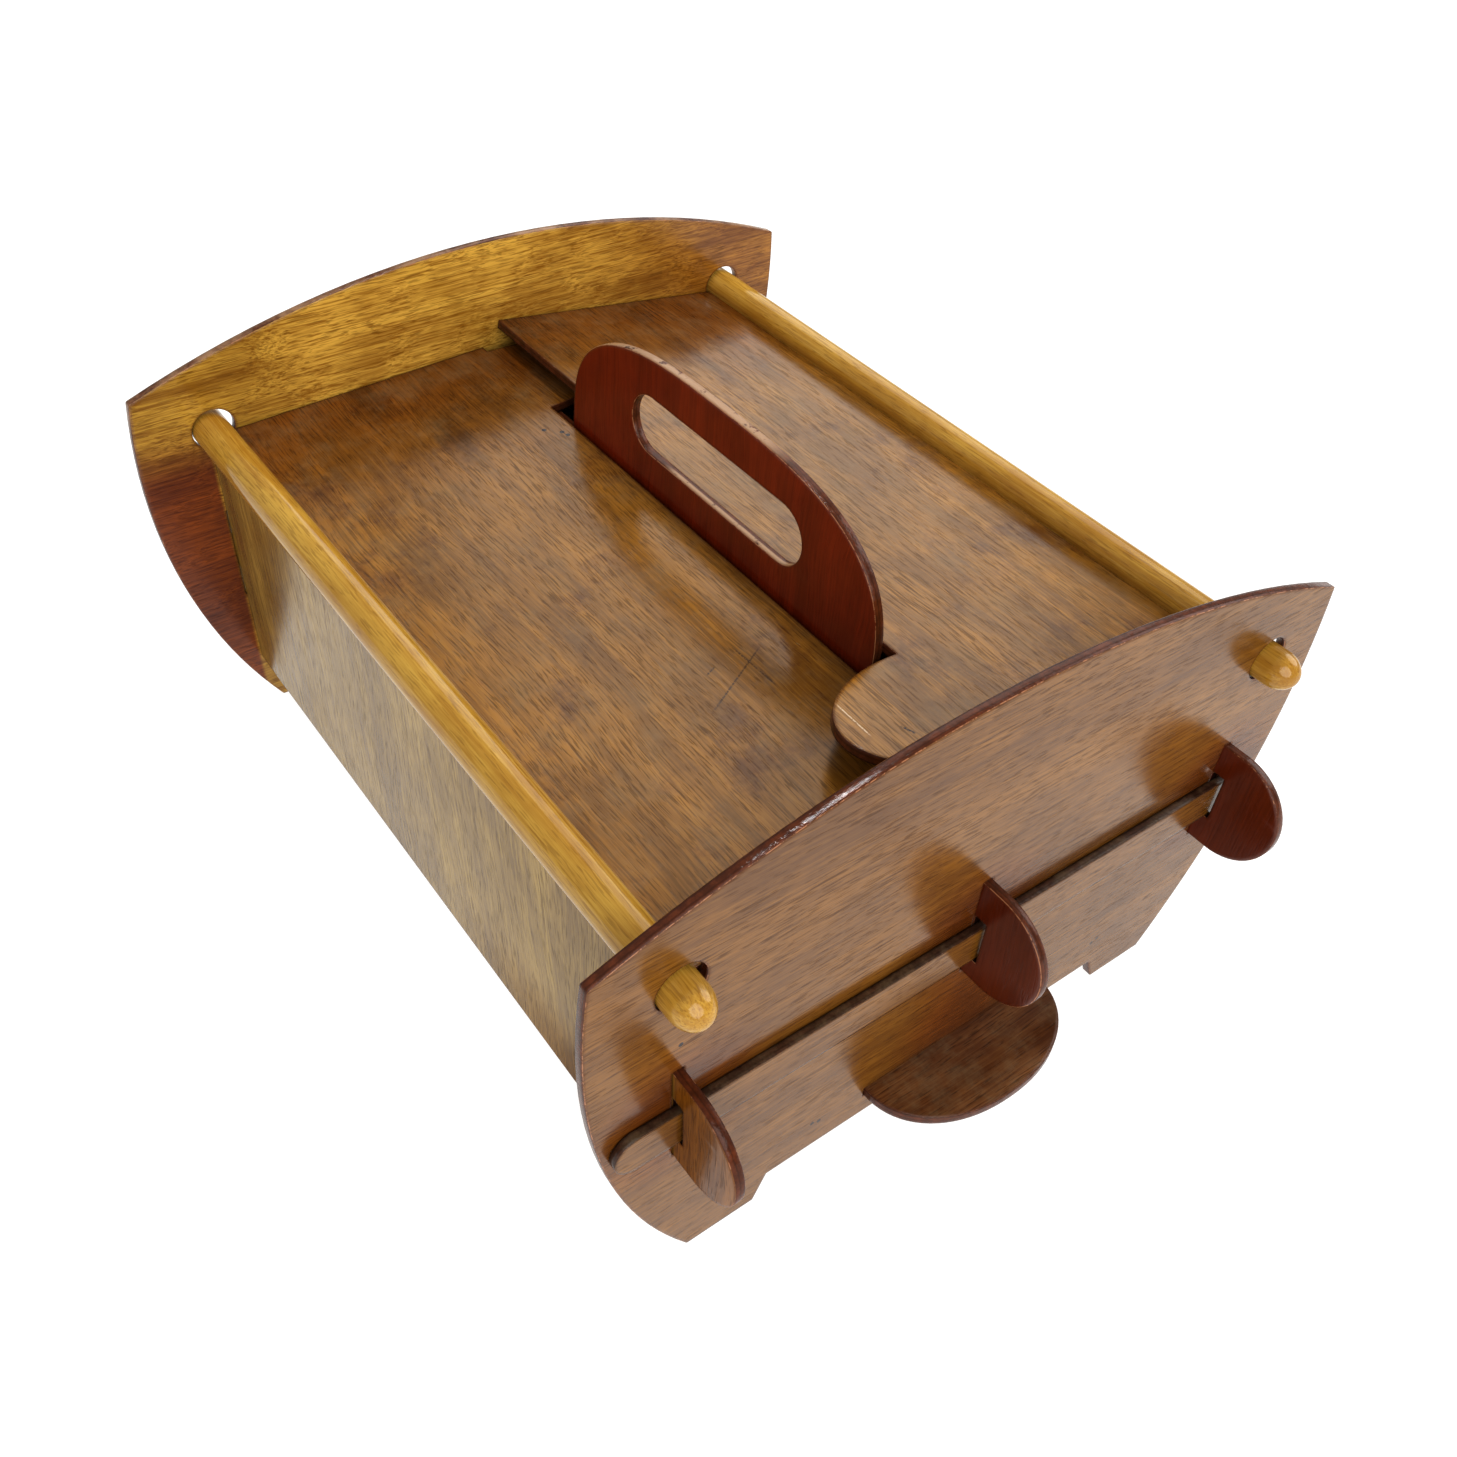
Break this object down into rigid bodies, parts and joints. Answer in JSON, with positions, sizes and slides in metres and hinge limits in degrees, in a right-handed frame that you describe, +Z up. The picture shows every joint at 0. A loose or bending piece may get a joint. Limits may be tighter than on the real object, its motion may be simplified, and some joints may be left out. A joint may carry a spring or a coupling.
{
  "type": "knock-down plywood carry case",
  "caption": "Carry case of slotted plywood boards held by half-moon tabs and locking strips, with an arched handle on its divider and overlapping lids that swing on round rods.",
  "frame": {"origin": "on the floor under the middle of the case, halfway between the end panels and under the handle's board", "axes": "+X along the case and its handle, from the left end panel to the right one; -Y towards the front side board; +Z up"},
  "size_m": [0.3712, 0.302, 0.2],
  "materials": {
    "end_panels": "varnished plywood, semi-gloss, worn along its edges",
    "side_boards": "varnished plywood, semi-gloss",
    "floor_board": "varnished plywood, semi-gloss",
    "divider_handle": "dark red mahogany stain, glossy varnish",
    "locking_strips": "varnished, dusty along its top edge",
    "lids": "varnished plywood, semi-gloss, dusty and scratched",
    "rods": "varnished beech"
  },
  "bodies": {
    "case": {"end_panel_left": "end_panels", "end_panel_right": "end_panels", "side_board_front": "side_boards", "side_board_back": "side_boards", "floor_board": "floor_board", "divider_handle": "divider_handle", "locking_strip_left": "locking_strips", "locking_strip_right": "locking_strips"},
    "front_lid": {"lid_front": "lids", "hinge_rod_front": "rods"},
    "back_lid": {"lid_back": "lids", "hinge_rod_back": "rods"}
  },
  "joints": [
    {"name": "back_lid_hinge", "type": "hinge", "parent": "case", "child": "back_lid", "pos_m": [0, 0.1215, 0.1428], "axis": [-1, 0, 0], "range_deg": [0, 220]},
    {"name": "front_lid_hinge", "type": "hinge", "parent": "case", "child": "front_lid", "pos_m": [0, -0.1215, 0.1428], "axis": [1, 0, 0], "range_deg": [0, 99]}
  ],
  "couplings": [
    {"joint": "front_lid_hinge", "follows": "back_lid_hinge", "ratio": 0.45}
  ]
}
